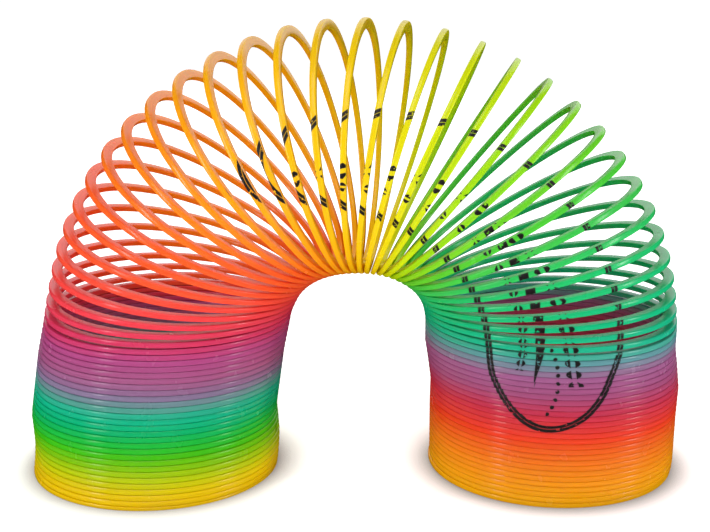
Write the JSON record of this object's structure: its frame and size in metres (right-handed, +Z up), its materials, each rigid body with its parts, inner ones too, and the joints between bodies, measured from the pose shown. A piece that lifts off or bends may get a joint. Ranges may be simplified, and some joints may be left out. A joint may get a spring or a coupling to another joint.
{
  "type": "spring coil toy",
  "caption": "Rainbow-coloured plastic spring coil that stands as an arch on its two ends, with turns that fan open over the top and lie closed in both legs.",
  "frame": {"origin": "middle of the bounding box's base, at the level both feet stand on", "axes": "+X from the left leg to the right leg, +Y away from the front, +Z up"},
  "size_m": [0.1972, 0.09, 0.1364],
  "materials": {
    "yellow_plastic": "moulded, glossy, slightly translucent",
    "lime_plastic": "moulded, glossy, slightly translucent",
    "green_plastic": "moulded, glossy, slightly translucent",
    "teal_plastic": "moulded, glossy, slightly translucent",
    "purple_plastic": "moulded, glossy, slightly translucent",
    "crimson_plastic": "moulded, glossy, slightly translucent",
    "red_plastic": "moulded, glossy, slightly translucent",
    "orange_plastic": "moulded, glossy, slightly translucent",
    "amber_plastic": "moulded, glossy, slightly translucent"
  },
  "bodies": {
    "left_leg": {"left_leg_coils_1": "yellow_plastic", "left_leg_coils_2": "green_plastic", "left_leg_coils_3": "purple_plastic", "left_leg_coils_4": "crimson_plastic"},
    "arch_turn_01": {"arch_turn_01": "red_plastic"},
    "arch_turn_02": {"arch_turn_02": "red_plastic"},
    "arch_turn_03": {"arch_turn_03": "red_plastic"},
    "arch_turn_04": {"arch_turn_04": "orange_plastic"},
    "arch_turn_05": {"arch_turn_05": "orange_plastic"},
    "arch_turn_06": {"arch_turn_06": "orange_plastic"},
    "arch_turn_07": {"arch_turn_07": "orange_plastic"},
    "arch_turn_08": {"arch_turn_08": "orange_plastic"},
    "arch_turn_09": {"arch_turn_09": "orange_plastic"},
    "arch_turn_10": {"arch_turn_10": "orange_plastic"},
    "arch_turn_11": {"arch_turn_11": "amber_plastic"},
    "arch_turn_12": {"arch_turn_12": "amber_plastic"},
    "arch_turn_13": {"arch_turn_13": "amber_plastic"},
    "arch_turn_14": {"arch_turn_14": "amber_plastic"},
    "arch_turn_15": {"arch_turn_15": "amber_plastic"},
    "arch_turn_16": {"arch_turn_16": "yellow_plastic"},
    "arch_turn_17": {"arch_turn_17": "yellow_plastic"},
    "arch_turn_18": {"arch_turn_18": "yellow_plastic"},
    "arch_turn_19": {"arch_turn_19": "yellow_plastic"},
    "arch_turn_20": {"arch_turn_20": "yellow_plastic"},
    "arch_turn_21": {"arch_turn_21": "yellow_plastic"},
    "arch_turn_22": {"arch_turn_22": "yellow_plastic"},
    "arch_turn_23": {"arch_turn_23": "lime_plastic"},
    "arch_turn_24": {"arch_turn_24": "lime_plastic"},
    "arch_turn_25": {"arch_turn_25": "lime_plastic"},
    "arch_turn_26": {"arch_turn_26": "lime_plastic"},
    "arch_turn_27": {"arch_turn_27": "lime_plastic"},
    "arch_turn_28": {"arch_turn_28": "green_plastic"},
    "arch_turn_29": {"arch_turn_29": "green_plastic"},
    "arch_turn_30": {"arch_turn_30": "green_plastic"},
    "arch_turn_31": {"arch_turn_31": "green_plastic"},
    "arch_turn_32": {"arch_turn_32": "green_plastic"},
    "right_leg": {"right_leg_coils_1": "teal_plastic", "right_leg_coils_2": "purple_plastic", "right_leg_coils_3": "red_plastic", "right_leg_coils_4": "amber_plastic"}
  },
  "joints": [
    {"name": "turn_hinge_01", "type": "hinge", "parent": "left_leg", "child": "arch_turn_01", "pos_m": [-0.02057, -0.00281, 0.04738], "axis": [0, -1, 0], "range_deg": [-0.077, 0.717], "stiffness_Nm_per_rad": 0.007, "springref_deg": 0.71},
    {"name": "turn_hinge_02", "type": "hinge", "parent": "arch_turn_01", "child": "arch_turn_02", "pos_m": [-0.02006, -0.00264, 0.04907], "axis": [0, -1, 0], "range_deg": [-0.14, 1.54], "stiffness_Nm_per_rad": 0.007, "springref_deg": 1.55},
    {"name": "turn_hinge_03", "type": "hinge", "parent": "arch_turn_02", "child": "arch_turn_03", "pos_m": [-0.01934, -0.00247, 0.05075], "axis": [0, -1, 0], "range_deg": [-0.21, 2.32], "stiffness_Nm_per_rad": 0.007, "springref_deg": 2.35},
    {"name": "turn_hinge_04", "type": "hinge", "parent": "arch_turn_03", "child": "arch_turn_04", "pos_m": [-0.01856, -0.0023, 0.05239], "axis": [0, -1, 0], "range_deg": [-0.27, 3.04], "stiffness_Nm_per_rad": 0.007, "springref_deg": 3.08},
    {"name": "turn_hinge_05", "type": "hinge", "parent": "arch_turn_04", "child": "arch_turn_05", "pos_m": [-0.0177, -0.00213, 0.05399], "axis": [0, -1, 0], "range_deg": [-0.32, 3.71], "stiffness_Nm_per_rad": 0.007, "springref_deg": 3.77},
    {"name": "turn_hinge_06", "type": "hinge", "parent": "arch_turn_05", "child": "arch_turn_06", "pos_m": [-0.01663, -0.00196, 0.0555], "axis": [0, -1, 0], "range_deg": [-0.37, 4.33], "stiffness_Nm_per_rad": 0.007, "springref_deg": 4.4},
    {"name": "turn_hinge_07", "type": "hinge", "parent": "arch_turn_06", "child": "arch_turn_07", "pos_m": [-0.01538, -0.00178, 0.05691], "axis": [0, -1, 0], "range_deg": [-0.42, 4.9], "stiffness_Nm_per_rad": 0.007, "springref_deg": 4.98},
    {"name": "turn_hinge_08", "type": "hinge", "parent": "arch_turn_07", "child": "arch_turn_08", "pos_m": [-0.01396, -0.00161, 0.05819], "axis": [0, -1, 0], "range_deg": [-0.46, 5.41], "stiffness_Nm_per_rad": 0.007, "springref_deg": 5.5},
    {"name": "turn_hinge_09", "type": "hinge", "parent": "arch_turn_08", "child": "arch_turn_09", "pos_m": [-0.0124, -0.00145, 0.05931], "axis": [0, -1, 0], "range_deg": [-0.5, 5.88], "stiffness_Nm_per_rad": 0.007, "springref_deg": 5.97},
    {"name": "turn_hinge_10", "type": "hinge", "parent": "arch_turn_09", "child": "arch_turn_10", "pos_m": [-0.01073, -0.00128, 0.06027], "axis": [0, -1, 0], "range_deg": [-0.53, 6.29], "stiffness_Nm_per_rad": 0.007, "springref_deg": 6.39},
    {"name": "left_shoulder_bend", "type": "hinge", "parent": "arch_turn_10", "child": "arch_turn_11", "pos_m": [-0.009, -0.00111, 0.06106], "axis": [0, -1, 0], "range_deg": [-0.54, 6.62], "stiffness_Nm_per_rad": 0.007, "springref_deg": 6.76},
    {"name": "turn_hinge_12", "type": "hinge", "parent": "arch_turn_11", "child": "arch_turn_12", "pos_m": [-0.00724, -0.00093, 0.06168], "axis": [0, -1, 0], "range_deg": [-0.59, 6.95], "stiffness_Nm_per_rad": 0.007, "springref_deg": 7.07},
    {"name": "turn_hinge_13", "type": "hinge", "parent": "arch_turn_12", "child": "arch_turn_13", "pos_m": [-0.00546, -0.00076, 0.06216], "axis": [0, -1, 0], "range_deg": [-0.61, 7.21], "stiffness_Nm_per_rad": 0.007, "springref_deg": 7.33},
    {"name": "turn_hinge_14", "type": "hinge", "parent": "arch_turn_13", "child": "arch_turn_14", "pos_m": [-0.00369, -0.0006, 0.0625], "axis": [0, -1, 0], "range_deg": [-0.62, 7.41], "stiffness_Nm_per_rad": 0.007, "springref_deg": 7.54},
    {"name": "turn_hinge_15", "type": "hinge", "parent": "arch_turn_14", "child": "arch_turn_15", "pos_m": [-0.00195, -0.00042, 0.06274], "axis": [0, -1, 0], "range_deg": [-0.64, 7.56], "stiffness_Nm_per_rad": 0.007, "springref_deg": 7.69},
    {"name": "turn_hinge_16", "type": "hinge", "parent": "arch_turn_15", "child": "arch_turn_16", "pos_m": [-0.00023, -0.00026, 0.06288], "axis": [0, -1, 0], "range_deg": [-0.64, 7.66], "stiffness_Nm_per_rad": 0.007, "springref_deg": 7.79},
    {"name": "crown_bend", "type": "hinge", "parent": "arch_turn_16", "child": "arch_turn_17", "pos_m": [0.00148, -0.00009, 0.06294], "axis": [0, -1, 0], "range_deg": [-0.63, 7.69], "stiffness_Nm_per_rad": 0.007, "springref_deg": 7.84},
    {"name": "turn_hinge_18", "type": "hinge", "parent": "arch_turn_17", "child": "arch_turn_18", "pos_m": [0.00318, 0.00009, 0.06293], "axis": [0, -1, 0], "range_deg": [-0.65, 7.7], "stiffness_Nm_per_rad": 0.007, "springref_deg": 7.84},
    {"name": "turn_hinge_19", "type": "hinge", "parent": "arch_turn_18", "child": "arch_turn_19", "pos_m": [0.00489, 0.00026, 0.06286], "axis": [0, -1, 0], "range_deg": [-0.64, 7.64], "stiffness_Nm_per_rad": 0.007, "springref_deg": 7.78},
    {"name": "turn_hinge_20", "type": "hinge", "parent": "arch_turn_19", "child": "arch_turn_20", "pos_m": [0.00661, 0.00042, 0.0627], "axis": [0, -1, 0], "range_deg": [-0.63, 7.53], "stiffness_Nm_per_rad": 0.007, "springref_deg": 7.67},
    {"name": "turn_hinge_21", "type": "hinge", "parent": "arch_turn_20", "child": "arch_turn_21", "pos_m": [0.00836, 0.0006, 0.06245], "axis": [0, -1, 0], "range_deg": [-0.62, 7.37], "stiffness_Nm_per_rad": 0.007, "springref_deg": 7.5},
    {"name": "turn_hinge_22", "type": "hinge", "parent": "arch_turn_21", "child": "arch_turn_22", "pos_m": [0.01013, 0.00076, 0.06208], "axis": [0, -1, 0], "range_deg": [-0.6, 7.16], "stiffness_Nm_per_rad": 0.007, "springref_deg": 7.29},
    {"name": "right_shoulder_bend", "type": "hinge", "parent": "arch_turn_22", "child": "arch_turn_23", "pos_m": [0.01191, 0.00093, 0.06157], "axis": [0, -1, 0], "range_deg": [-0.56, 6.87], "stiffness_Nm_per_rad": 0.007, "springref_deg": 7.01},
    {"name": "turn_hinge_24", "type": "hinge", "parent": "arch_turn_23", "child": "arch_turn_24", "pos_m": [0.01367, 0.00111, 0.06091], "axis": [0, -1, 0], "range_deg": [-0.56, 6.58], "stiffness_Nm_per_rad": 0.007, "springref_deg": 6.69},
    {"name": "turn_hinge_25", "type": "hinge", "parent": "arch_turn_24", "child": "arch_turn_25", "pos_m": [0.01539, 0.00128, 0.06009], "axis": [0, -1, 0], "range_deg": [-0.53, 6.21], "stiffness_Nm_per_rad": 0.007, "springref_deg": 6.31},
    {"name": "turn_hinge_26", "type": "hinge", "parent": "arch_turn_25", "child": "arch_turn_26", "pos_m": [0.01703, 0.00145, 0.0591], "axis": [0, -1, 0], "range_deg": [-0.49, 5.79], "stiffness_Nm_per_rad": 0.007, "springref_deg": 5.88},
    {"name": "turn_hinge_27", "type": "hinge", "parent": "arch_turn_26", "child": "arch_turn_27", "pos_m": [0.01857, 0.00161, 0.05794], "axis": [0, -1, 0], "range_deg": [-0.45, 5.31], "stiffness_Nm_per_rad": 0.007, "springref_deg": 5.4},
    {"name": "turn_hinge_28", "type": "hinge", "parent": "arch_turn_27", "child": "arch_turn_28", "pos_m": [0.01987, 0.00178, 0.05664], "axis": [0, -1, 0], "range_deg": [-0.41, 4.79], "stiffness_Nm_per_rad": 0.007, "springref_deg": 4.87},
    {"name": "turn_hinge_29", "type": "hinge", "parent": "arch_turn_28", "child": "arch_turn_29", "pos_m": [0.02091, 0.00196, 0.05521], "axis": [0, -1, 0], "range_deg": [-0.36, 4.21], "stiffness_Nm_per_rad": 0.007, "springref_deg": 4.28},
    {"name": "turn_hinge_30", "type": "hinge", "parent": "arch_turn_29", "child": "arch_turn_30", "pos_m": [0.02175, 0.00213, 0.05367], "axis": [0, -1, 0], "range_deg": [-0.31, 3.58], "stiffness_Nm_per_rad": 0.007, "springref_deg": 3.63},
    {"name": "turn_hinge_31", "type": "hinge", "parent": "arch_turn_30", "child": "arch_turn_31", "pos_m": [0.02239, 0.0023, 0.05206], "axis": [0, -1, 0], "range_deg": [-0.26, 2.9], "stiffness_Nm_per_rad": 0.007, "springref_deg": 2.94},
    {"name": "turn_hinge_32", "type": "hinge", "parent": "arch_turn_31", "child": "arch_turn_32", "pos_m": [0.02281, 0.00247, 0.0504], "axis": [0, -1, 0], "range_deg": [-0.2, 2.17], "stiffness_Nm_per_rad": 0.007, "springref_deg": 2.19},
    {"name": "turn_hinge_33", "type": "hinge", "parent": "arch_turn_32", "child": "right_leg", "pos_m": [0.02312, 0.00264, 0.04871], "axis": [0, -1, 0], "range_deg": [-0.13, 1.38], "stiffness_Nm_per_rad": 0.007, "springref_deg": 1.39}
  ],
  "couplings": [
    {"joint": "turn_hinge_01", "follows": "left_shoulder_bend", "ratio": 0.10517},
    {"joint": "turn_hinge_02", "follows": "left_shoulder_bend", "ratio": 0.22997},
    {"joint": "turn_hinge_03", "follows": "left_shoulder_bend", "ratio": 0.34693},
    {"joint": "turn_hinge_04", "follows": "left_shoulder_bend", "ratio": 0.45604},
    {"joint": "turn_hinge_05", "follows": "left_shoulder_bend", "ratio": 0.55729},
    {"joint": "turn_hinge_06", "follows": "left_shoulder_bend", "ratio": 0.6507},
    {"joint": "turn_hinge_07", "follows": "left_shoulder_bend", "ratio": 0.73626},
    {"joint": "turn_hinge_08", "follows": "left_shoulder_bend", "ratio": 0.81397},
    {"joint": "turn_hinge_09", "follows": "left_shoulder_bend", "ratio": 0.88383},
    {"joint": "turn_hinge_10", "follows": "left_shoulder_bend", "ratio": 0.94584},
    {"joint": "turn_hinge_12", "follows": "crown_bend", "ratio": 0.90189},
    {"joint": "turn_hinge_13", "follows": "crown_bend", "ratio": 0.93505},
    {"joint": "turn_hinge_14", "follows": "crown_bend", "ratio": 0.96143},
    {"joint": "turn_hinge_15", "follows": "crown_bend", "ratio": 0.98106},
    {"joint": "turn_hinge_16", "follows": "crown_bend", "ratio": 0.99391},
    {"joint": "turn_hinge_18", "follows": "crown_bend", "ratio": 0.99932},
    {"joint": "turn_hinge_19", "follows": "crown_bend", "ratio": 0.99188},
    {"joint": "turn_hinge_20", "follows": "crown_bend", "ratio": 0.97767},
    {"joint": "turn_hinge_21", "follows": "crown_bend", "ratio": 0.9567},
    {"joint": "turn_hinge_22", "follows": "crown_bend", "ratio": 0.92896},
    {"joint": "turn_hinge_24", "follows": "right_shoulder_bend", "ratio": 0.95386},
    {"joint": "turn_hinge_25", "follows": "right_shoulder_bend", "ratio": 0.90015},
    {"joint": "turn_hinge_26", "follows": "right_shoulder_bend", "ratio": 0.83888},
    {"joint": "turn_hinge_27", "follows": "right_shoulder_bend", "ratio": 0.77004},
    {"joint": "turn_hinge_28", "follows": "right_shoulder_bend", "ratio": 0.69364},
    {"joint": "turn_hinge_29", "follows": "right_shoulder_bend", "ratio": 0.60968},
    {"joint": "turn_hinge_30", "follows": "right_shoulder_bend", "ratio": 0.51815},
    {"joint": "turn_hinge_31", "follows": "right_shoulder_bend", "ratio": 0.41905},
    {"joint": "turn_hinge_32", "follows": "right_shoulder_bend", "ratio": 0.3124},
    {"joint": "turn_hinge_33", "follows": "right_shoulder_bend", "ratio": 0.19817}
  ]
}
